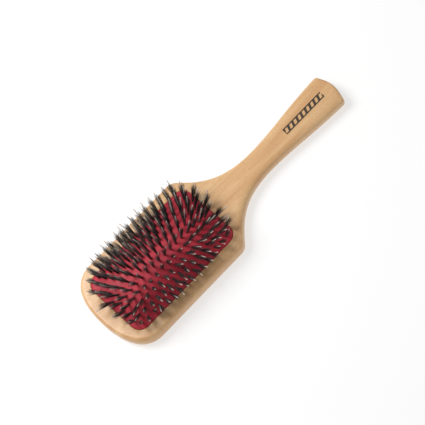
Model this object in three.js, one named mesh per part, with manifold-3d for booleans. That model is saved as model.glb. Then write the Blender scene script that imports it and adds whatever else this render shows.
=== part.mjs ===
// Vanity paddle brush: a one-piece wooden head and handle, a domed rubber cushion held in the
// head by a bead, and rows of bristle tufts, each tuft with one longer nylon quill beside it.
//
// Frame: millimetres. +X runs along the brush to the handle's butt, +Y across the head, +Z up out
// of the bristles. The brush lies on its flat back: the origin is the centre of its outline on
// the resting plane, and the middle of the head and of the handle is the XZ plane.
//
// Every sub-part is one closed body. The tufts of a row are joined at their roots by a thin
// strip that stands for the wire under the rubber, and so are the row's quills.
import * as THREE from 'three';
import { mergeVertices } from 'three/addons/utils/BufferGeometryUtils.js';
import Module from 'manifold-3d';

const wasm = await Module();
wasm.setup();

// ---------------------------------------------------------------- driving sizes
const LENGTH = 250;            // head end to butt
const HEAD_WIDTH = 79;
const NECK_WIDTH = 20.4;
const BUTT_WIDTH = 31;
const WOOD_THICKNESS = 12;
const EDGE_ROUND = 3.6;          // how far the rounded edge reaches in from the head's outline
const GAP = 0.3;               // clearance between touching pieces

const CUSHION_LENGTH = 103.4;
const CUSHION_WIDTH = 59;
const CUSHION_CORNER = 8.8;
const CUSHION_X = -60.6;       // centre of the cushion along the brush
const DOME_HEIGHT = 7.6;       // of the rubber's middle over its edge
const MEMBRANE_EDGE_Z = WOOD_THICKNESS + 0.3;
const RUBBER = 1.5;            // membrane thickness
const BEAD_WALL = 1.2;
const BEAD_TOP = WOOD_THICKNESS + 0.4;
const REBATE_DEPTH = 3;
const POCKET_FLOOR = 4.5;

const ROW_COUNT = 10;
const ROW_PITCH = 5.5;
const TUFT_PITCH = 5.9;
const TUFTS_LONG_ROW = 17;
const ROW_HALF_LENGTH = TUFT_PITCH * (TUFTS_LONG_ROW - 1) / 2;
const SIDE_SPLAY = 41;         // degrees, lean of the outer rows
const SPLAY_REACH = 20;        // distance from the middle at which that lean is reached
const END_SPLAY = 42;          // degrees, lean of the middle rows' end tufts
const SIDE_FADE = 0.6;         // share of the side lean lost at a row's ends
const END_FADE = 0.75;         // share of the end lean lost on the outer rows
const TUFT_DEPTH = 1.7;        // across the row
const TUFT_ROOT_WIDTH = 1.9;   // along the row
const TUFT_TIP_WIDTH = 2.5;
const TUFT_LENGTH = 15.3;      // above the rubber
const QUILL_WIDTH = 0.8;
const QUILL_LENGTH = 18.6;       // above the rubber
const STRIP_LIFT = 0.5;        // clear of the rubber, so that the row can rock
const STRIP_HEIGHT = 0.6;
const SMALL_STEP = 0.12;

// ---------------------------------------------------------------- materials
const paint = (color, roughness, extra = {}) =>
  new THREE.MeshStandardMaterial({ color, roughness, metalness: 0, ...extra });
const WOOD = paint(0xdcb080, 0.42);
const RUBBER_RED = paint(0xa82838, 0.5);
const BRISTLE = paint(0x24231f, 0.6);
const NYLON = paint(0xdcdad2, 0.3, { transparent: true, opacity: 0.7 });

// ---------------------------------------------------------------- helpers
// A closed manifold solid from a geometry, in the geometry's own place.
function solidOf(geometry) {
  const bare = geometry.clone();
  for (const name of Object.keys(bare.attributes)) {
    if (name !== 'position') bare.deleteAttribute(name);
  }
  const merged = mergeVertices(bare, 1e-4);
  const corners = merged.index.array;
  const kept = [];
  for (let i = 0; i < corners.length; i += 3) {
    const [a, b, c] = [corners[i], corners[i + 1], corners[i + 2]];
    if (a !== b && b !== c && c !== a) kept.push(a, b, c);
  }
  return new wasm.Manifold(new wasm.Mesh({
    numProp: 3,
    vertProperties: new Float32Array(merged.attributes.position.array),
    triVerts: new Uint32Array(kept),
  }));
}

function geometryOf(solid) {
  const mesh = solid.getMesh();
  const geometry = new THREE.BufferGeometry();
  geometry.setAttribute('position', new THREE.BufferAttribute(mesh.vertProperties, 3));
  geometry.setIndex(new THREE.BufferAttribute(mesh.triVerts, 1));
  geometry.computeVertexNormals();
  return geometry;
}

function named(name, geometry, material) {
  const mesh = new THREE.Mesh(geometry, material);
  mesh.name = name;
  return mesh;
}

// A lathe about +Z whose turns follow a loop of points instead of a circle: place(i, j) gives
// the position of profile point j at loop point i.
function loopLathe(profileCount, loopCount, place) {
  const profile = Array.from({ length: profileCount }, (_, j) => new THREE.Vector2(1, j));
  const geometry = new THREE.LatheGeometry(profile, loopCount);
  const position = geometry.attributes.position;
  for (let k = 0; k < position.count; k += 1) {
    const point = place(Math.floor(k / profileCount) % loopCount, k % profileCount);
    position.setXYZ(k, point.x, point.y, point.z);
  }
  return geometry;
}

function roundedRect(length, width, corner, Kind = THREE.Shape) {
  const [a, b] = [length / 2, width / 2];
  const shape = new Kind();
  shape.moveTo(-a + corner, -b);
  shape.lineTo(a - corner, -b);
  shape.absarc(a - corner, -b + corner, corner, -Math.PI / 2, 0);
  shape.lineTo(a, b - corner);
  shape.absarc(a - corner, b - corner, corner, 0, Math.PI / 2);
  shape.lineTo(-a + corner, b);
  shape.absarc(-a + corner, b - corner, corner, Math.PI / 2, Math.PI);
  shape.lineTo(-a, -b + corner);
  shape.absarc(-a + corner, -b + corner, corner, Math.PI, 1.5 * Math.PI);
  return shape;
}

// The cushion's rounded outline, drawn in by `inset` on every side.
function cushionOutline(inset, Kind = THREE.Shape) {
  return roundedRect(
    CUSHION_LENGTH - 2 * inset, CUSHION_WIDTH - 2 * inset, CUSHION_CORNER - inset, Kind);
}

function slab(shape, bottom, top) {
  return new THREE.ExtrudeGeometry(shape, {
    depth: top - bottom, bevelEnabled: false, curveSegments: 6,
  }).translate(CUSHION_X, 0, bottom);
}

// ---------------------------------------------------------------- wooden head and handle
// Half of the outline, from the head's end round one side to the butt.
function halfOutline() {
  const [end, side] = [LENGTH / 2, HEAD_WIDTH / 2];
  const [neck, butt] = [NECK_WIDTH / 2, BUTT_WIDTH / 2];
  const path = new THREE.Path();
  path.moveTo(-end, 0);
  path.bezierCurveTo(-end, 12, -end + 2, 21, -end + 5, 27);
  path.bezierCurveTo(-end + 8, 33.5, -end + 14, side, -end + 24.5, side);
  path.lineTo(-17.5, side);
  path.bezierCurveTo(-13.5, side, -11, 37.5, -8.5, 34.5);
  path.bezierCurveTo(4, 21, 16.5, neck, 45, neck);
  path.bezierCurveTo(68, neck, 88, butt - 1, end - 6.5, butt);
  path.bezierCurveTo(end - 3.7, butt + 0.2, end - 3.2, butt - 1.2, end - 2.7, butt - 2.9);
  path.bezierCurveTo(end - 1, 8, end, 4, end, 0);
  return path.getPoints(6);
}

// Share of the half-width that the rounded edge takes: little on the head, most of the handle.
function roundShare(x) {
  const headShare = EDGE_ROUND / (HEAD_WIDTH / 2);
  return headShare + (0.75 - headShare) * THREE.MathUtils.smoothstep(x, -12, 28);
}

function woodenBody() {
  const half = halfOutline();
  const mirrored = half.slice(1, -1).reverse().map((p) => new THREE.Vector2(p.x, -p.y));
  // Counter-clockwise about +Z, starting at the butt.
  const outline = [...half].reverse().concat(mirrored.reverse());
  const edgeSteps = 6;
  const inScale = 1 - EDGE_ROUND / (LENGTH / 2);
  const geometry = loopLathe(edgeSteps + 3, outline.length, (i, j) => {
    if (j === 0 || j === edgeSteps + 2) {
      return new THREE.Vector3(0, 0, j === 0 ? 0 : WOOD_THICKNESS);
    }
    const turn = Math.PI * ((j - 1) / edgeSteps - 0.5);
    const edge = outline[i];
    const inner = new THREE.Vector2(edge.x * inScale, edge.y * (1 - roundShare(edge.x)));
    const spot = inner.lerp(edge, Math.max(0, Math.cos(turn)));
    return new THREE.Vector3(spot.x, spot.y, (WOOD_THICKNESS / 2) * (1 + Math.sin(turn)));
  });
  const rebate = slab(cushionOutline(0), WOOD_THICKNESS - REBATE_DEPTH, WOOD_THICKNESS + 1);
  const pocket = slab(cushionOutline(GAP + BEAD_WALL), POCKET_FLOOR, WOOD_THICKNESS + 1);
  const cut = solidOf(geometry).subtract(solidOf(rebate)).subtract(solidOf(pocket));
  return named('wooden_body', geometryOf(cut), WOOD);
}

// ---------------------------------------------------------------- rubber
// Height of the rubber's top surface over a place on the cushion.
function domeZ(x, y) {
  const inset = 2 * GAP + BEAD_WALL;
  const along = Math.min(1, Math.abs(x - CUSHION_X) / (CUSHION_LENGTH / 2 - inset));
  const across = Math.min(1, Math.abs(y) / (CUSHION_WIDTH / 2 - inset));
  return MEMBRANE_EDGE_Z + DOME_HEIGHT * (1 - along ** 4) * (1 - across ** 2.6);
}

function cushionBead() {
  const ring = cushionOutline(GAP);
  ring.holes.push(cushionOutline(GAP + BEAD_WALL, THREE.Path));
  const geometry = slab(ring, WOOD_THICKNESS - REBATE_DEPTH + GAP, BEAD_TOP);
  return named('cushion_bead', geometry, RUBBER_RED);
}

function cushionPad() {
  const outline = cushionOutline(2 * GAP + BEAD_WALL).getPoints(4).slice(0, -1);
  const rings = [0, 0.3, 0.55, 0.75, 0.9, 1];
  const under = rings.map((scale) => ({ scale, lift: -RUBBER }));
  const over = rings.map((scale) => ({ scale, lift: 0 })).reverse();
  const profile = [...under, ...over];
  const geometry = loopLathe(profile.length, outline.length, (i, j) => {
    const { scale, lift } = profile[j];
    const [x, y] = [CUSHION_X + outline[i].x * scale, outline[i].y * scale];
    return new THREE.Vector3(x, y, domeZ(x, y) + lift);
  });
  return named('cushion_pad', geometry, RUBBER_RED);
}

// ---------------------------------------------------------------- rows of tufts
function rowY(row) {
  return (row - (ROW_COUNT - 1) / 2) * ROW_PITCH;
}

// Lean of a row's tufts away from the middle, in radians, for their distance from the row's
// middle; outwards is positive. It falls off towards the ends, as the dome's own slope does.
function sideLean(row, x) {
  const share = Math.min(1, Math.abs(rowY(row)) / SPLAY_REACH);
  const fade = 1 - SIDE_FADE * (Math.abs(x) / ROW_HALF_LENGTH) ** 3;
  return THREE.MathUtils.degToRad(SIDE_SPLAY) * Math.sin(share * Math.PI / 2) * fade;
}

// Lean of a tuft along its row, in radians. It falls off towards the outer rows.
function endLean(row, x) {
  const fade = 1 - END_FADE * (rowY(row) / rowY(ROW_COUNT - 1)) ** 2;
  const lean = THREE.MathUtils.degToRad(END_SPLAY) * (Math.abs(x) / ROW_HALF_LENGTH) ** 1.4;
  return Math.sign(x) * lean * fade;
}

// Tufts stand staggered from row to row, and the last row stops short of the round corners.
function tuftXs(row) {
  const isLong = row % 2 === 1;
  const cornered = isLong && row === ROW_COUNT - 1;
  const count = TUFTS_LONG_ROW - (isLong ? 0 : 1) - (cornered ? 2 : 0);
  return Array.from({ length: count }, (_, i) => (i - (count - 1) / 2) * TUFT_PITCH);
}

// Rocking line of a row: level, at the mean height of the rubber along the row.
function rowAxisZ(row) {
  const heights = tuftXs(row).map((x) => domeZ(CUSHION_X + x, rowY(row)));
  return heights.reduce((sum, z) => sum + z, 0) / heights.length;
}

// Distance from the rocking line to the rubber, up the lean that the row has at x.
function rubberUpLean(row, x) {
  const [lean, out] = [sideLean(row, x), Math.sign(rowY(row))];
  let height = 0;
  for (let turn = 0; turn < 12; turn += 1) {
    const y = rowY(row) + out * Math.sin(lean) * height;
    height = (domeZ(CUSHION_X + x, y) - rowAxisZ(row)) / Math.cos(lean);
  }
  return height;
}

// A comb along the row: a strip that follows the rubber, with one tooth for each tuft. It is
// drawn upright, then each of its points leans about the rocking line by the lean at its x.
function comb(row, toothLength, rootWidth, tipWidth, depth, offset) {
  const above = (x, lift) => new THREE.Vector2(x, rubberUpLean(row, x) + lift);
  const tip = (x, side) => {
    const [along, up] = [Math.sin(endLean(row, x)), Math.cos(endLean(row, x))];
    return above(x, 0).add(
      new THREE.Vector2(side * up + toothLength * along, toothLength * up - side * along));
  };
  // Small steps in height keep the outline's points out of line, so no facet is a sliver.
  const xs = tuftXs(row);
  const top = STRIP_LIFT + STRIP_HEIGHT;
  const bottomEdge = xs.map((x, i) => above(x, STRIP_LIFT + (i % 2) * SMALL_STEP));
  bottomEdge[0] = above(xs[0] - rootWidth / 2, STRIP_LIFT);
  bottomEdge[xs.length - 1] = above(xs.at(-1) + rootWidth / 2, STRIP_LIFT);
  const upperEdge = xs.flatMap((x) => [
    above(x - rootWidth / 2, top), tip(x, -tipWidth / 2),
    tip(x, tipWidth / 2), above(x + rootWidth / 2, top + SMALL_STEP),
  ]).reverse();
  const shape = new THREE.Shape([...bottomEdge, ...upperEdge]);
  const geometry = new THREE.ExtrudeGeometry(shape, { depth, bevelEnabled: false })
    .rotateX(Math.PI / 2).translate(0, offset + depth / 2, 0);
  const position = geometry.attributes.position;
  const point = new THREE.Vector3();
  const along = new THREE.Vector3(1, 0, 0);
  for (let k = 0; k < position.count; k += 1) {
    point.fromBufferAttribute(position, k);
    point.applyAxisAngle(along, -Math.sign(rowY(row)) * sideLean(row, point.x));
    position.setXYZ(k, point.x, point.y, point.z);
  }
  geometry.computeVertexNormals();
  return geometry;
}

// Stand a comb in its place on the cushion.
function stoodInRow(row, mesh) {
  mesh.position.set(CUSHION_X, rowY(row), rowAxisZ(row));
  return mesh;
}

function bristleRow(row) {
  const geometry = comb(row, TUFT_LENGTH, TUFT_ROOT_WIDTH, TUFT_TIP_WIDTH, TUFT_DEPTH, 0);
  return stoodInRow(row, named(`bristle_row_${rowLabel(row)}`, geometry, BRISTLE));
}

// The quills stand on the tufts' uphill side, towards the middle of the cushion.
function quillRow(row) {
  const offset = -Math.sign(rowY(row)) * (TUFT_DEPTH / 2 + GAP + QUILL_WIDTH / 2);
  const geometry = comb(row, QUILL_LENGTH, QUILL_WIDTH, QUILL_WIDTH, QUILL_WIDTH, offset);
  return stoodInRow(row, named(`quill_row_${rowLabel(row)}`, geometry, NYLON));
}

function rowLabel(row) {
  return String(row + 1).padStart(2, '0');
}

// ---------------------------------------------------------------- assembly
const brush = new THREE.Group();
brush.add(woodenBody(), cushionBead(), cushionPad());
for (let row = 0; row < ROW_COUNT; row += 1) brush.add(bristleRow(row), quillRow(row));

export default brush;
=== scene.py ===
"""Looks of the paddle hairbrush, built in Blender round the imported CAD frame.

Lengths are in metres. The frame is the CAD one: +X along the brush to the butt of the handle,
+Y across the head, +Z up out of the bristles, and the brush lies on its flat back at z = 0.
"""

import math
import random

import bpy
import numpy as np
from mathutils import Matrix, Vector


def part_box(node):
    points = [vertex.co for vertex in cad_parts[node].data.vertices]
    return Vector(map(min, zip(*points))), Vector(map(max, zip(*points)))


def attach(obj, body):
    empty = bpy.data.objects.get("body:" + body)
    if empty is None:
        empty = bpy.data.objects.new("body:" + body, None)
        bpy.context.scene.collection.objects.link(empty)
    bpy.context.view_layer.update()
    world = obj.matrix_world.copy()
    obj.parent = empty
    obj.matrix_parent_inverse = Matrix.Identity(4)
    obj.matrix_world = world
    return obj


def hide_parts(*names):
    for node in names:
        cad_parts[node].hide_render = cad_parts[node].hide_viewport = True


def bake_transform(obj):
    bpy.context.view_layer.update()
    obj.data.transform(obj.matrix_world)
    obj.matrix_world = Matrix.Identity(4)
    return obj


MM = 0.001
SEED = 7                # of the hairs and quills of the first row
TUFT_SEED = SEED + 100  # of its tufts' directions

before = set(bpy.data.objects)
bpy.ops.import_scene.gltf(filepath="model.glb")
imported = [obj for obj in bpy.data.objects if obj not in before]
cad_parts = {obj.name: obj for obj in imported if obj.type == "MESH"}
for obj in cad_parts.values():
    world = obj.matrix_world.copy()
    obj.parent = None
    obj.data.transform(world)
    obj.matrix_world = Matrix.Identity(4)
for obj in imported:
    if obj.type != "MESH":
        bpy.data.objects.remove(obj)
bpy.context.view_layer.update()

# ------------------------------------------------------------------ sizes of the wood
BODY_LOW, BODY_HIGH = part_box("wooden_body")
HALF_LENGTH = (BODY_HIGH[0] - BODY_LOW[0]) / 2
HALF_HEAD = (BODY_HIGH[1] - BODY_LOW[1]) / 2
WOOD_TOP = BODY_HIGH[2]
HALF_NECK = 10.2 * MM
HALF_BUTT = 15.5 * MM
EDGE_ROUND = 2.8 * MM
EDGE_STEPS = 28
HANDLE_ROUND = 0.9    # share of the handle's half-width taken by its rounding
HEAD_POWER = 0.82     # below 1 the rounding is fuller than an ellipse
HANDLE_POWER = 0.62
FLAT_SHARE = 0.985    # size of the ring just inside the rounding, against the rounding's start
SHOULDER_START = -12 * MM   # where the head's section begins to change into the handle's
SHOULDER_LENGTH = 40 * MM
POCKET_FLOOR = 4.5 * MM
REBATE_DEPTH = 3 * MM
REBATE_WIDTH = 1.5 * MM
LIP_ROUND = 0.5 * MM
LIP_STEPS = 5
RECESS_PER_SIDE = 12        # points on each straight and each corner of the recess
RECESS_MARGIN = 4 * MM      # wood between the recess and the handle's closed top

KNOT_PLACE = Vector((-6 * MM, -26.6 * MM, 12 * MM))
KNOT_RADIUS = 3.2 * MM
KNOT_SHAPE = (1, 1.7, 0.5)  # how much faster than along X it fades along X, Y and Z

PRINT_X, PRINT_Y = 93 * MM, 0.2 * MM
PRINT_LENGTH, PRINT_HEIGHT = 41 * MM, 5.6 * MM
PRINT_PITCH = 4.6 * MM
PRINT_LINE = 1.1 * MM
PRINT_SLANT = -0.45
PRINT_GAP = 0.52            # share of each pitch left bare
PRINT_INK = 0.93

# ------------------------------------------------------------------ sizes of the cushion
BEAD_LOW, BEAD_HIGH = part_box("cushion_bead")
BEAD_GAP = 0.3 * MM
CUSHION_X = (BEAD_LOW[0] + BEAD_HIGH[0]) / 2
CUSHION_LENGTH = BEAD_HIGH[0] - BEAD_LOW[0] + 2 * BEAD_GAP
CUSHION_WIDTH = BEAD_HIGH[1] - BEAD_LOW[1] + 2 * BEAD_GAP
CUSHION_CORNER = 8.8 * MM
SMALLEST_CORNER = 0.5 * MM
CUSHION_PER_SIDE = 28
MEMBRANE_INSET = 1.8 * MM
MEMBRANE_EDGE_Z = WOOD_TOP + 0.3 * MM
MEMBRANE_THICKNESS = 1.5 * MM
DOME_HEIGHT = 7.6 * MM
DOME_LONG_POWER, DOME_CROSS_POWER = 4, 2.6
DOME_RINGS = 43
DOME_RING_POWER = 1.25      # above 1 the rings crowd towards the edge
UNDERSIDE_RINGS = (0.985, 0.9, 0.7, 0.45, 0.2)
# The rim's section, from the membrane outwards, down the recess and back in under it:
# inset from the recess's wall and height over the wood, in millimetres.
RIM_SECTION = [
    (1.62, 0.22), (1.5, 0.18), (1.35, 0.18), (1.1, 0.26), (0.85, 0.3), (0.6, 0.27),
    (0.4, 0.16), (0.3, 0.0), (0.28, -0.6), (0.28, -2.6), (1.3, -2.6), (1.75, -1.2),
]
# The collar round a tuft: radius and height over the rubber, in millimetres.
SLEEVE_SECTION = [
    (1.5, -0.5), (1.35, -0.02), (1.2, 0.2), (0.98, 0.24), (0.82, 0.1), (0.78, -0.6),
]
SLEEVE_SIDES = 12

# ------------------------------------------------------------------ sizes of the tufts
ROW_COUNT = 10
ROW_PITCH = 5.5 * MM
TUFT_PITCH = 5.9 * MM
TUFTS_LONG_ROW = 17
SIDE_SPLAY = math.radians(41)  # lean of the outer rows
SPLAY_REACH = 20 * MM          # distance from the middle at which that lean is reached
END_SPLAY = math.radians(42)   # lean of the middle rows' end tufts
END_POWER = 1.7                # above 1 the lean gathers near the ends
SIDE_FADE = 0.6                # share of the side lean lost at a row's ends
END_FADE = 0.75                # share of the end lean lost on the outer rows
TUFT_UNEVEN = 0.045            # spread of the tufts' own directions, in radians

HAIRS = 76                     # in one tuft
BRISTLE_LENGTH = 16.3 * MM
HAIR_LONGEST = 1.05            # share of that length at a tuft's heart
HAIR_RIM_LOSS = 0.08           # share less at its rim
HAIR_UNEVEN = 0.2              # largest further loss, at random
BRISTLE_SIDES = 3
BRISTLE_BURIED = 1.2           # how far a hair goes on below the rubber, in millimetres
BRISTLE_RADII = (0.065, 0.1)   # thinnest and thickest, in millimetres
BRISTLE_TAPER = [(0, 1), (0.5, 0.95), (0.85, 0.75)]  # share of the length, of the radius
FOOT_RADIUS = 0.65             # of a tuft at the rubber, in millimetres
TIP_SPREAD = 2.1               # how far its outer tips stand out, in millimetres
WAIST_DRAW = (-0.45, -0.15)    # how far it draws in at half its height, in millimetres
HAIR_STRAY = 0.6 * MM
HAIR_BEND = 0.72               # place of the last bend between the waist and the tip
GOLDEN_ANGLE = 2.39996         # radians, turns each hair's place from the last one's
HAIR_TURN = 0.4                # largest further turn, at random

QUILL_LENGTH = 19 * MM
QUILL_UNEVEN = (0.95, 1.02)    # least and greatest share of that length
QUILL_RADIUS = 0.36 * MM
QUILL_SIDES = 8
QUILL_LEAN = 0.055             # spread of the quills' own directions, in radians
QUILL_BOW = 0.5                # largest sideways bow, in millimetres
# Share of the length and share of the radius, up to just short of the rounded tip.
QUILL_TAPER = [
    (-0.08, 1), (0.2, 1), (0.45, 0.97), (0.7, 0.94), (0.9, 0.92), (0.97, 0.85), (0.99, 0.55),
]

# ------------------------------------------------------------------ studio
FLOOR_HALF = 6.0
FLOOR_Z = -0.4 * MM
KEY_PLACE, KEY_TARGET = Vector((-0.25, 0.37, 0.66)), Vector((-0.02, 0, 0))
KEY_SIZE, KEY_POWER = 0.5, 5.2
WORLD_STRENGTH = 0.39

VIEW_TARGET = Vector((-8.6 * MM, -1.05 * MM, 7 * MM))
VIEW_DISTANCE = 1.35
VIEW_WIDTH = 316.6 * MM
ELEVATION = math.radians(65.4)
AZIMUTH = math.radians(20.3)
ROLL = math.radians(27.2)


# ------------------------------------------------------------------ helpers
def make_object(name, points, faces, material, smooth=True):
    mesh = bpy.data.meshes.new(name)
    mesh.from_pydata([tuple(p) for p in points], [], faces)
    mesh.validate()
    mesh.polygons.foreach_set("use_smooth", [smooth] * len(mesh.polygons))
    mesh.materials.append(material)
    obj = bpy.data.objects.new(name, mesh)
    bpy.context.scene.collection.objects.link(obj)
    return obj


def bezier(a, b, c, d, count):
    """Points on a cubic curve, its first point left out."""
    steps = np.linspace(0, 1, count + 1)[1:, None]
    a, b, c, d = (np.array(p, float) for p in (a, b, c, d))
    return (
        a * (1 - steps) ** 3
        + 3 * b * steps * (1 - steps) ** 2
        + 3 * c * steps**2 * (1 - steps)
        + d * steps**3
    )


def rounded_rect(length, width, corner, per_side):
    """Counter-clockwise loop round the origin, with the same number of points on every
    straight and corner, so that loops of different sizes match point for point."""
    half_x, half_y = length / 2 - corner, width / 2 - corner
    points = []
    for quarter in range(4):
        turn = quarter * math.pi / 2
        cx = half_x if quarter in (0, 3) else -half_x
        cy = half_y if quarter in (0, 1) else -half_y
        for k in range(per_side):
            angle = turn + math.pi / 2 * k / per_side
            points.append((cx + corner * math.cos(angle), cy + corner * math.sin(angle)))
        start = Vector((cx - corner * math.sin(turn), cy + corner * math.cos(turn)))
        next_x = half_x if quarter in (2, 3) else -half_x
        next_y = half_y if quarter in (0, 3) else -half_y
        end = Vector((next_x - corner * math.sin(turn), next_y + corner * math.cos(turn)))
        for k in range(per_side):
            points.append(tuple(start.lerp(end, k / per_side)))
    return np.array(points)


def cushion_loop(inset, per_side=CUSHION_PER_SIDE):
    """Outline of the cushion's recess, drawn in by the inset."""
    return rounded_rect(
        CUSHION_LENGTH - 2 * inset,
        CUSHION_WIDTH - 2 * inset,
        max(CUSHION_CORNER - inset, SMALLEST_CORNER),
        per_side,
    )


def skin_faces(ring_count, ring_size, first=0):
    """Quads between one ring of points and the next, facing out when rings climb."""
    faces = []
    for ring in range(ring_count - 1):
        for k in range(ring_size):
            a = first + ring * ring_size + k
            b = first + ring * ring_size + (k + 1) % ring_size
            faces.append((a, b, b + ring_size, a + ring_size))
    return faces


def across(direction):
    """Two directions square to the given one and to each other."""
    side = direction.orthogonal().normalized()
    return side, direction.cross(side)


def dome_height(x, y):
    """Height of the rubber's top surface at a place on the cushion."""
    along = np.minimum(1, np.abs(x - CUSHION_X) / (CUSHION_LENGTH / 2 - MEMBRANE_INSET))
    aside = np.minimum(1, np.abs(y) / (CUSHION_WIDTH / 2 - MEMBRANE_INSET))
    bulge = (1 - along**DOME_LONG_POWER) * (1 - aside**DOME_CROSS_POWER)
    return MEMBRANE_EDGE_Z + DOME_HEIGHT * bulge


# ------------------------------------------------------------------ materials
class Nodes:
    """A shorthand for building one material's nodes."""

    def __init__(self, name):
        self.material = bpy.data.materials.new(name)
        self.material.use_nodes = True
        self.tree = self.material.node_tree
        self.shader = self.tree.nodes["Principled BSDF"]

    def add(self, kind, **values):
        node = self.tree.nodes.new(kind)
        for key, value in values.items():
            if hasattr(node, key):
                setattr(node, key, value)
            else:
                node.inputs[key].default_value = value
        return node

    def link(self, output, socket):
        self.tree.links.new(output, socket)

    def feed(self, value, socket):
        """Links an output to the socket, or sets a plain value on it."""
        if isinstance(value, bpy.types.NodeSocket):
            self.link(value, socket)
        else:
            socket.default_value = value

    def set(self, **values):
        for key, value in values.items():
            self.shader.inputs[key.replace("_", " ")].default_value = value

    def object_space(self, scale, location=(0, 0, 0)):
        place = self.add("ShaderNodeTexCoord")
        mapping = self.add("ShaderNodeMapping", Scale=scale, Location=location)
        self.link(place.outputs["Object"], mapping.inputs["Vector"])
        return mapping.outputs["Vector"]

    def noise(self, vector, detail=3.0, roughness=0.5, distortion=0.0):
        node = self.add(
            "ShaderNodeTexNoise",
            Scale=1.0,
            Detail=detail,
            Roughness=roughness,
            Distortion=distortion,
        )
        self.link(vector, node.inputs["Vector"])
        return node.outputs["Fac"]

    def ramp(self, factor, stops):
        node = self.add("ShaderNodeValToRGB")
        elements = node.color_ramp.elements
        while len(elements) < len(stops):
            elements.new(0.5)
        for element, (position, color) in zip(elements, stops):
            element.position = position
            element.color = (*color, 1)
        self.link(factor, node.inputs["Fac"])
        return node.outputs["Color"]

    def grey_ramp(self, factor, stops):
        return self.ramp(factor, [(position, (v, v, v)) for position, v in stops])

    def mix(self, factor, a, b, blend="MIX"):
        node = self.add("ShaderNodeMix", data_type="RGBA", blend_type=blend)
        for value, socket in ((factor, 0), (a, 6), (b, 7)):
            self.feed(value, node.inputs[socket])
        return node.outputs[2]

    def calc(self, operation, *values):
        node = self.add("ShaderNodeMath", operation=operation)
        for value, socket in zip(values, node.inputs):
            self.feed(value, socket)
        return node.outputs["Value"]

    def bump(self, height, strength, distance):
        node = self.add("ShaderNodeBump", Strength=strength, Distance=distance)
        self.link(height, node.inputs["Height"])
        self.link(node.outputs["Normal"], self.shader.inputs["Normal"])


def linear(red, green, blue):
    """A colour given as on a screen, 0 to 255, for a shader."""

    def one(v):
        v = v / 255
        return v / 12.92 if v <= 0.04045 else ((v + 0.055) / 1.055) ** 2.4

    return (one(red), one(green), one(blue))


def beech():
    """Clear-lacquered beech: pale tan, soft bands, fine fibre, short dark flecks, a knot."""
    n = Nodes("beech")
    bands = n.noise(n.object_space((9, 75, 60)), detail=3.0, roughness=0.55, distortion=0.6)
    tan = n.ramp(
        bands,
        [
            (0.30, linear(208, 157, 105)),
            (0.48, linear(221, 174, 122)),
            (0.62, linear(229, 187, 137)),
            (0.76, linear(214, 164, 111)),
        ],
    )
    fibre = n.noise(n.object_space((70, 1900, 1900)), detail=4.0, roughness=0.6)
    fibre_tone = n.grey_ramp(fibre, [(0.3, 0.86), (0.7, 1.06)])
    colour = n.mix(0.55, tan, fibre_tone, "MULTIPLY")
    fleck = n.noise(n.object_space((430, 2600, 2600)), detail=1.0)
    fleck_mask = n.grey_ramp(fleck, [(0.60, 0.0), (0.70, 0.5)])
    colour = n.mix(fleck_mask, colour, (*linear(176, 122, 78), 1))
    colour = n.mix(knot(n), colour, (*linear(150, 96, 56), 1))
    colour = n.mix(handle_print(n), colour, (*linear(16, 14, 13), 1))
    n.link(colour, n.shader.inputs["Base Color"])
    rough = n.grey_ramp(fibre, [(0.3, 0.46), (0.7, 0.38)])
    n.link(rough, n.shader.inputs["Roughness"])
    n.set(Coat_Weight=0.35, Coat_Roughness=0.22, IOR=1.5, Specular_IOR_Level=0.45)
    n.bump(fibre, 0.12, 0.05 * MM)
    return n.material


def knot(n):
    """Mask of the small knot beside the head, strongest at its middle."""
    scale = [share / KNOT_RADIUS for share in KNOT_SHAPE]
    shift = [-place * s for place, s in zip(KNOT_PLACE, scale)]
    distance = n.add("ShaderNodeVectorMath", operation="LENGTH")
    n.link(n.object_space(scale, shift), distance.inputs[0])
    return n.grey_ramp(distance.outputs["Value"], [(0.15, 0.55), (0.95, 0.0)])


def handle_print(n):
    """Mask of a plain printed mark on the handle: slanted strokes between two lines."""
    split = n.add("ShaderNodeSeparateXYZ")
    n.link(n.object_space((1, 1, 1)), split.inputs["Vector"])
    x, y, height = split.outputs
    away = n.calc("ABSOLUTE", n.calc("SUBTRACT", x, PRINT_X))
    aside = n.calc("ABSOLUTE", n.calc("SUBTRACT", y, PRINT_Y))
    slanted = n.calc("DIVIDE", n.calc("MULTIPLY_ADD", y, PRINT_SLANT, x), PRINT_PITCH)
    strokes = n.calc("GREATER_THAN", n.calc("FRACT", slanted), PRINT_GAP)
    lines = n.calc("GREATER_THAN", aside, PRINT_HEIGHT / 2 - PRINT_LINE)
    mask = n.calc("MAXIMUM", strokes, lines)
    mask = n.calc("MULTIPLY", mask, n.calc("LESS_THAN", aside, PRINT_HEIGHT / 2))
    mask = n.calc("MULTIPLY", mask, n.calc("LESS_THAN", away, PRINT_LENGTH / 2))
    mask = n.calc("MULTIPLY", mask, n.calc("GREATER_THAN", height, WOOD_TOP / 2))
    return n.calc("MULTIPLY", mask, PRINT_INK)


def red_rubber():
    """Smooth red rubber, a little darker and glossier here and there."""
    n = Nodes("red_rubber")
    cloud = n.noise(n.object_space((60, 60, 60)), detail=3.0)
    colour = n.ramp(cloud, [(0.35, linear(188, 43, 62)), (0.65, linear(208, 56, 72))])
    n.link(colour, n.shader.inputs["Base Color"])
    rough = n.grey_ramp(cloud, [(0.3, 0.44), (0.7, 0.56)])
    n.link(rough, n.shader.inputs["Roughness"])
    n.set(Specular_IOR_Level=0.28)
    grain = n.noise(n.object_space((2200, 2200, 2200)), detail=2.0)
    n.bump(grain, 0.15, 0.04 * MM)
    return n.material


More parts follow.
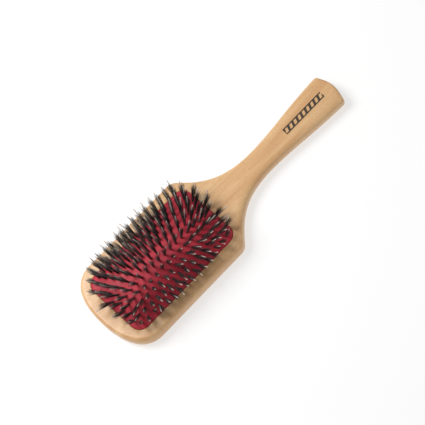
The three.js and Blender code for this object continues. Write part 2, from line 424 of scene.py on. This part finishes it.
def boar_bristle():
    """Near-black bristle, browner and paler towards its tip."""
    n = Nodes("boar_bristle")
    along = n.add("ShaderNodeAttribute", attribute_name="along")
    tip = n.ramp(
        along.outputs["Fac"],
        [
            (0.0, linear(18, 16, 15)),
            (0.6, linear(32, 29, 27)),
            (0.85, linear(48, 43, 39)),
            (1.0, linear(88, 79, 69)),
        ],
    )
    shade = n.noise(n.object_space((900, 900, 60)), detail=1.0)
    tone = n.grey_ramp(shade, [(0.35, 0.7), (0.65, 1.25)])
    n.link(n.mix(0.8, tip, tone, "MULTIPLY"), n.shader.inputs["Base Color"])
    n.set(Roughness=0.42, Specular_IOR_Level=0.5, Sheen_Weight=0.15)
    return n.material


def nylon():
    """Translucent whitish nylon."""
    n = Nodes("nylon_quill")
    cloud = n.noise(n.object_space((500, 500, 160)), detail=2.0)
    colour = n.ramp(cloud, [(0.3, linear(216, 208, 196)), (0.7, linear(240, 232, 220))])
    n.link(colour, n.shader.inputs["Base Color"])
    rough = n.grey_ramp(cloud, [(0.3, 0.22), (0.7, 0.34)])
    n.link(rough, n.shader.inputs["Roughness"])
    n.set(Transmission_Weight=0.25, IOR=1.53, Specular_IOR_Level=0.6)
    return n.material


WOOD, RUBBER, BRISTLE, NYLON = beech(), red_rubber(), boar_bristle(), nylon()


# ------------------------------------------------------------------ wooden head and handle
def half_outline():
    """From the middle of the head's end, round the +Y side, to the middle of the butt."""
    end, side = HALF_LENGTH, HALF_HEAD
    corner_a, corner_b = (-end + 5 * MM, 27 * MM), (-end + 24.5 * MM, side)
    shoulder_a, shoulder_b = (-17.5 * MM, side), (-8.5 * MM, 34.5 * MM)
    neck = (45 * MM, HALF_NECK)
    butt_a, butt_b = (end - 6.5 * MM, HALF_BUTT), (end - 2.7 * MM, HALF_BUTT - 2.9 * MM)
    butt_turn_a = (end - 3.7 * MM, HALF_BUTT + 0.2 * MM)
    butt_turn_b = (end - 3.2 * MM, HALF_BUTT - 1.2 * MM)
    return np.vstack(
        [
            np.array([(-end, 0)]),
            bezier((-end, 0), (-end, 12 * MM), (-end + 2 * MM, 21 * MM), corner_a, 16),
            bezier(corner_a, (-end + 8 * MM, 33.5 * MM), (-end + 14 * MM, side), corner_b, 20),
            np.linspace(corner_b, shoulder_a, 25)[1:],
            bezier(shoulder_a, (-13.5 * MM, side), (-11 * MM, 37.5 * MM), shoulder_b, 12),
            bezier(shoulder_b, (4 * MM, 21 * MM), (16.5 * MM, HALF_NECK), neck, 28),
            bezier(neck, (68 * MM, HALF_NECK), (88 * MM, HALF_BUTT - MM), butt_a, 28),
            bezier(butt_a, butt_turn_a, butt_turn_b, butt_b, 8),
            bezier(butt_b, (end - MM, 8 * MM), (end, 4 * MM), (end, 0), 12),
        ]
    )


def handle_share(x):
    """0 on the head, 1 on the handle, with a soft change over the shoulders."""
    step = np.clip((x - SHOULDER_START) / SHOULDER_LENGTH, 0, 1)
    return step * step * (3 - 2 * step)


def body_points(outline):
    """Rings of the wood, from its flat back, round its edge, to its flat top."""
    # On the head only the edge is rounded; on the handle nearly the whole width is.
    on_handle = handle_share(outline[:, 0])
    head_round = EDGE_ROUND / HALF_HEAD
    round_share = head_round + (HANDLE_ROUND - head_round) * on_handle
    power = HEAD_POWER + (HANDLE_POWER - HEAD_POWER) * on_handle
    inner_x = outline[:, 0] * (1 - EDGE_ROUND / HALF_LENGTH)
    inner = np.stack([inner_x, outline[:, 1] * (1 - round_share)], axis=1)
    flat = inner * FLAT_SHARE
    points = [(x, y, 0) for x, y in flat]
    for k in range(EDGE_STEPS + 1):
        turn = math.pi * (k / EDGE_STEPS - 0.5)
        out = max(0.0, math.cos(turn)) ** power
        spot = inner + (outline - inner) * out[:, None]
        rise = math.copysign(1, turn) * abs(math.sin(turn)) ** power
        points += list(zip(spot[:, 0], spot[:, 1], WOOD_TOP / 2 * (1 + rise)))
    points += [(x, y, WOOD_TOP) for x, y in flat]
    return points


def recess_section():
    """Inset and height of the recess's rings: wood, rounded lip, rebate, wall and floor."""
    section = [(-2 * LIP_ROUND, WOOD_TOP)]
    for k in range(LIP_STEPS):
        turn = math.pi / 2 * k / (LIP_STEPS - 1)
        inset = -LIP_ROUND * (1 - math.sin(turn))
        section.append((inset, WOOD_TOP - LIP_ROUND * (1 - math.cos(turn))))
    rebate_z = WOOD_TOP - REBATE_DEPTH
    return section + [(0, rebate_z), (REBATE_WIDTH, rebate_z), (REBATE_WIDTH, POCKET_FLOOR)]


def opposite_faces(first, count, stop):
    """Faces across an outline's ring, each joining two points to the two opposite them."""
    faces = []
    for k in range(stop):
        corners = (k, k + 1, count - k - 1, (count - k) % count)
        faces.append(tuple(dict.fromkeys(first + corner for corner in corners)))
    return faces


def zip_faces(points, ring, hole):
    """Triangles between an open outer loop and the closed loop inside it, by angle."""

    def angles(loop):
        spots = np.array([points[i][:2] for i in loop])
        return np.unwrap(np.arctan2(spots[:, 1], spots[:, 0] - CUSHION_X))

    ring_angles, hole_angles = angles(ring), angles(hole)
    ring_end, hole_end = len(ring) - 1, len(hole) - 1
    faces = []
    i = j = 0
    while i < ring_end or j < hole_end:
        if j == hole_end or (i < ring_end and ring_angles[i + 1] < hole_angles[j + 1]):
            faces.append((ring[i], ring[i + 1], hole[j]))
            i += 1
        else:
            faces.append((ring[i], hole[j + 1], hole[j]))
            j += 1
    faces.append((ring[-1], ring[0], hole[0]))
    return faces


def wooden_body():
    half = half_outline()
    outline = np.vstack([half[::-1], (half * (1, -1))[1:-1]])
    count = len(outline)
    points = body_points(outline)
    faces = skin_faces(len(points) // count, count)
    top_first = len(points) - count

    recess_first = len(points)
    recess_size = 8 * RECESS_PER_SIDE
    section = recess_section()
    for inset, height in section:
        for x, y in cushion_loop(inset, RECESS_PER_SIDE):
            points.append((CUSHION_X + x, y, height))
    faces += skin_faces(len(section), recess_size, recess_first)
    floor_first = recess_first + (len(section) - 1) * recess_size
    faces.append(tuple(range(floor_first, floor_first + recess_size)))

    # The back is closed from side to side, and so is the top as far as the recess.
    faces += [face[::-1] for face in opposite_faces(0, count, len(half) - 1)]
    recess_end = CUSHION_X + CUSHION_LENGTH / 2 + RECESS_MARGIN
    head_start = int(np.argmax(half[::-1][:, 0] < recess_end))
    faces += opposite_faces(top_first, count, head_start)
    ring = [top_first + k for k in range(head_start, count - head_start + 1)]
    hole = [recess_first + k % recess_size for k in range(recess_size + 1)]
    faces += zip_faces(points, ring, hole)

    body = make_object("beech_body", points, faces, WOOD)
    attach(body, "handle")
    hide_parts("wooden_body")


# ------------------------------------------------------------------ rubber cushion
def rubber_cushion(sleeves):
    """One moulded cushion: domed membrane, a shallow groove, and the rim in the recess."""
    edge = cushion_loop(MEMBRANE_INSET)
    ring_size = len(edge)

    def dome_ring(scale, depth):
        xs, ys = CUSHION_X + edge[:, 0] * scale, edge[:, 1] * scale
        return list(zip(xs, ys, dome_height(xs, ys) - depth))

    crown = float(dome_height(CUSHION_X, 0))
    points = [(CUSHION_X, 0, crown)]
    for scale in 1 - (1 - np.linspace(0, 1, DOME_RINGS + 1)[1:]) ** DOME_RING_POWER:
        points += dome_ring(scale, 0)
    for inset, height in RIM_SECTION:
        loop = cushion_loop(inset * MM)
        points += [(CUSHION_X + x, y, WOOD_TOP + height * MM) for x, y in loop]
    for scale in UNDERSIDE_RINGS:
        points += dome_ring(scale, MEMBRANE_THICKNESS)
    rings = DOME_RINGS + len(RIM_SECTION) + len(UNDERSIDE_RINGS)
    points.append((CUSHION_X, 0, crown - MEMBRANE_THICKNESS))
    faces = [face[::-1] for face in skin_faces(rings, ring_size, 1)]
    last = len(points) - 1
    for k in range(ring_size):
        after = (k + 1) % ring_size
        faces.append((0, 1 + k, 1 + after))
        faces.append((last, last - ring_size + after, last - ring_size + k))
    for root, direction in sleeves:
        add_sleeve(points, faces, root, direction)
    cushion = make_object("rubber_cushion", points, faces, RUBBER)
    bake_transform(cushion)
    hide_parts("cushion_bead", "cushion_pad")


def add_sleeve(points, faces, root, direction):
    """A low moulded collar in the rubber round one tuft."""
    side, other = across(direction)
    first = len(points)
    for radius, height in SLEEVE_SECTION:
        for k in range(SLEEVE_SIDES):
            angle = 2 * math.pi * k / SLEEVE_SIDES
            spot = root + direction * height * MM
            spot += (side * math.cos(angle) + other * math.sin(angle)) * radius * MM
            points.append(tuple(spot))
    faces += skin_faces(len(SLEEVE_SECTION), SLEEVE_SIDES, first)
    below = first + (len(SLEEVE_SECTION) - 1) * SLEEVE_SIDES
    for k in range(SLEEVE_SIDES):
        after = (k + 1) % SLEEVE_SIDES
        faces.append((below + k, below + after, first + after, first + k))


# ------------------------------------------------------------------ rows of tufts
def row_y(row):
    return (row - (ROW_COUNT - 1) / 2) * ROW_PITCH


def tuft_xs(row):
    """Tufts stand staggered, and the last row stops short of the round corners."""
    is_long = row % 2 == 1
    cornered = is_long and row == ROW_COUNT - 1
    count = TUFTS_LONG_ROW - (0 if is_long else 1) - (2 if cornered else 0)
    return [CUSHION_X + (i - (count - 1) / 2) * TUFT_PITCH for i in range(count)]


def tuft_direction(x, y):
    """Tufts fan outwards, both across the brush and along it, and less so near the corners."""
    share = (x - CUSHION_X) / (TUFT_PITCH * (TUFTS_LONG_ROW - 1) / 2)
    reach = min(1, abs(y) / SPLAY_REACH)
    side_lean = SIDE_SPLAY * math.sin(reach * math.pi / 2) * (1 - SIDE_FADE * abs(share) ** 3)
    end_fade = 1 - END_FADE * (y / row_y(ROW_COUNT - 1)) ** 2
    end_lean = math.copysign(END_SPLAY * abs(share) ** END_POWER, share) * end_fade
    tip = Vector((math.sin(end_lean), 0, math.cos(end_lean)))
    return Matrix.Rotation(-math.copysign(side_lean, y), 3, "X") @ tip


def tufts(row):
    """Root and direction of each tuft of a row, each a little off its ideal direction."""
    rng = random.Random(TUFT_SEED + row)
    y = row_y(row)
    found = []
    for x in tuft_xs(row):
        off = Vector([rng.gauss(0, TUFT_UNEVEN) for _ in range(3)])
        root = Vector((x, y, float(dome_height(x, y))))
        found.append((root, (tuft_direction(x, y) + off).normalized()))
    return found


class Strands:
    """Points and faces of many thin tapered rods, and how far along its rod each point is."""

    def __init__(self):
        self.points, self.faces, self.along = [], [], []

    def add(self, spine, radii, sides, shares):
        """One rod through the spine's points, closed to a point at its tip."""
        first = len(self.points)
        side, other = across((spine[-1] - spine[0]).normalized())
        for spot, radius, share in zip(spine[:-1], radii, shares):
            for k in range(sides):
                angle = 2 * math.pi * k / sides
                out = side * math.cos(angle) + other * math.sin(angle)
                self.points.append(tuple(spot + out * radius))
                self.along.append(share)
        self.points.append(tuple(spine[-1]))
        self.along.append(1.0)
        rings = len(spine) - 1
        self.faces += skin_faces(rings, sides, first)
        self.faces.append(tuple(first + k for k in reversed(range(sides))))
        tip = len(self.points) - 1
        last_ring = first + (rings - 1) * sides
        for k in range(sides):
            self.faces.append((last_ring + k, last_ring + (k + 1) % sides, tip))


def bristle_row(row, rng):
    strands = Strands()
    shares, widths = zip(*BRISTLE_TAPER)
    for root, direction in tufts(row):
        side, other = across(direction)
        for hair in range(HAIRS):
            reach = math.sqrt((hair + 0.5) / HAIRS)
            angle = hair * GOLDEN_ANGLE + rng.uniform(-HAIR_TURN, HAIR_TURN)
            out = side * math.cos(angle) + other * math.sin(angle)
            foot = root + out * reach * FOOT_RADIUS * MM
            share = HAIR_LONGEST - HAIR_RIM_LOSS * reach**2 - rng.uniform(0, HAIR_UNEVEN)
            length = BRISTLE_LENGTH * share
            stray = Vector([rng.gauss(0, HAIR_STRAY) for _ in range(3)])
            top = root + direction * length + out * reach * TIP_SPREAD * MM + stray
            waist = foot.lerp(top, 0.5) + out * reach * rng.uniform(*WAIST_DRAW) * MM
            below = foot - direction * BRISTLE_BURIED * MM
            neck = waist.lerp(top, HAIR_BEND)
            radius = rng.uniform(*BRISTLE_RADII) * MM
            spine = [below, waist, neck, top]
            strands.add(spine, [radius * width for width in widths], BRISTLE_SIDES, shares)
    label = f"{row + 1:02d}"
    obj = make_object(f"bristles_{label}", strands.points, strands.faces, BRISTLE)
    attribute = obj.data.attributes.new("along", "FLOAT", "POINT")
    attribute.data.foreach_set("value", strands.along)
    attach(obj, f"row_{label}")
    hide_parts(f"bristle_row_{label}")


def quill_row(row, rng):
    """One stiff nylon pin out of the heart of each tuft, each leaning its own way a little."""
    strands = Strands()
    shares, widths = zip(*QUILL_TAPER)
    for root, direction in tufts(row):
        lean = Vector([rng.gauss(0, QUILL_LEAN) for _ in range(3)])
        heading = (direction + lean).normalized()
        bow = heading.orthogonal().normalized() * rng.uniform(-QUILL_BOW, QUILL_BOW) * MM
        length = QUILL_LENGTH * rng.uniform(*QUILL_UNEVEN)
        spine = [
            root + heading * length * s + bow * math.sin(math.pi * max(s, 0)) for s in shares
        ]
        spine.append(root + heading * length)
        strands.add(spine, [QUILL_RADIUS * width for width in widths], QUILL_SIDES, shares)
    label = f"{row + 1:02d}"
    obj = make_object(f"quills_{label}", strands.points, strands.faces, NYLON)
    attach(obj, f"row_{label}")
    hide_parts(f"quill_row_{label}")


# ------------------------------------------------------------------ floor, light and camera
def floor():
    n = Nodes("floor")
    n.set(Base_Color=(0.42, 0.42, 0.42, 1), Roughness=0.9, Specular_IOR_Level=0.1)
    n.set(Emission_Color=(1, 1, 1, 1), Emission_Strength=0.62)
    signs = [(-1, -1), (1, -1), (1, 1), (-1, 1)]
    corners = [(FLOOR_HALF * x, FLOOR_HALF * y, FLOOR_Z) for x, y in signs]
    obj = make_object("floor", corners, [(0, 1, 2, 3)], n.material, smooth=False)


def studio():
    scene = bpy.context.scene
    scene.view_settings.view_transform = "Standard"
    world = bpy.data.worlds.new("studio")
    world.use_nodes = True
    background = world.node_tree.nodes["Background"]
    background.inputs["Color"].default_value = (1, 1, 1, 1)
    background.inputs["Strength"].default_value = WORLD_STRENGTH
    scene.world = world
    light = bpy.data.lights.new("key", "AREA")
    light.shape = "DISK"
    light.size = KEY_SIZE
    light.energy = KEY_POWER
    key = bpy.data.objects.new("key", light)
    key.location = KEY_PLACE
    key.rotation_euler = (KEY_TARGET - KEY_PLACE).to_track_quat("-Z", "Y").to_euler()
    scene.collection.objects.link(key)


def camera():
    data = bpy.data.cameras.new("camera")
    data.sensor_fit = "HORIZONTAL"
    data.angle = 2 * math.atan(VIEW_WIDTH / 2 / VIEW_DISTANCE)
    obj = bpy.data.objects.new("camera", data)
    back = Vector((
        -math.sin(AZIMUTH) * math.cos(ELEVATION),
        -math.cos(AZIMUTH) * math.cos(ELEVATION),
        math.sin(ELEVATION),
    ))
    level = Vector((math.cos(AZIMUTH), -math.sin(AZIMUTH), 0))
    upright = back.cross(level)
    right = level * math.cos(ROLL) - upright * math.sin(ROLL)
    up = level * math.sin(ROLL) + upright * math.cos(ROLL)
    turn = Matrix((right, up, back)).transposed()
    obj.matrix_world = Matrix.Translation(VIEW_TARGET + back * VIEW_DISTANCE) @ turn.to_4x4()
    bpy.context.scene.collection.objects.link(obj)
    bpy.context.scene.camera = obj


# ------------------------------------------------------------------ the brush
camera()
wooden_body()
rubber_cushion([tuft for row in range(ROW_COUNT) for tuft in tufts(row)])
for row in range(ROW_COUNT):
    rng = random.Random(SEED + row)
    bristle_row(row, rng)
    quill_row(row, rng)
floor()
studio()

bpy.context.view_layer.update()
